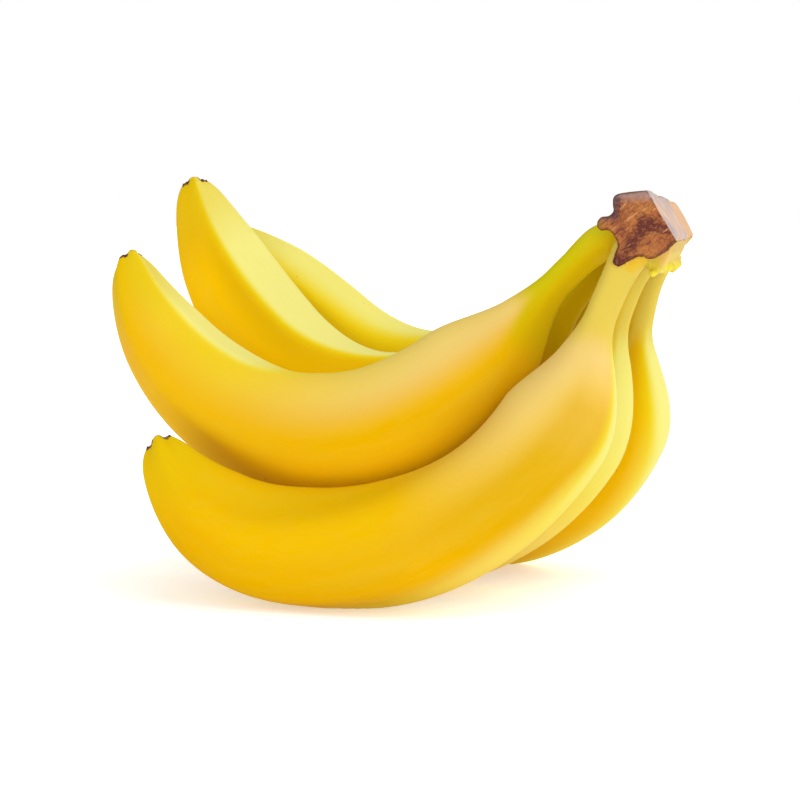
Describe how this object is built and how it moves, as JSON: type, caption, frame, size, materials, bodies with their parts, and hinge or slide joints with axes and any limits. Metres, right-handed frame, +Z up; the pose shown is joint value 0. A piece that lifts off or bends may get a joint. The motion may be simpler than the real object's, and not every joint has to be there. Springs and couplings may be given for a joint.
{
  "type": "banana bunch",
  "caption": "Bunch of ripe bananas on one cut crown, lying on the bellies of its outer row with the inner row nested above.",
  "frame": {"origin": "middle of the bunch's bounding box, on the surface it lies on", "axes": "+X towards the cut crown along the bunch's longest way, +Y across the fingers, from the front one to the back one, +Z up"},
  "size_m": [0.1884, 0.1468, 0.13],
  "materials": {
    "crown": "dry fibrous cut tissue, red-brown, matt",
    "banana_outer_front": "ripe yellow peel, waxy and half gloss",
    "banana_outer_middle": "ripe yellow peel, waxy and half gloss",
    "banana_outer_back": "ripe yellow peel, waxy and half gloss",
    "banana_inner_front": "ripe yellow peel, waxy and half gloss",
    "banana_inner_middle": "ripe yellow peel, waxy and half gloss",
    "banana_inner_back": "ripe yellow peel, waxy and half gloss"
  },
  "bodies": {
    "root": {"crown": "crown", "banana_outer_front": "banana_outer_front", "banana_outer_middle": "banana_outer_middle", "banana_outer_back": "banana_outer_back", "banana_inner_front": "banana_inner_front", "banana_inner_middle": "banana_inner_middle", "banana_inner_back": "banana_inner_back"}
  },
  "joints": []
}
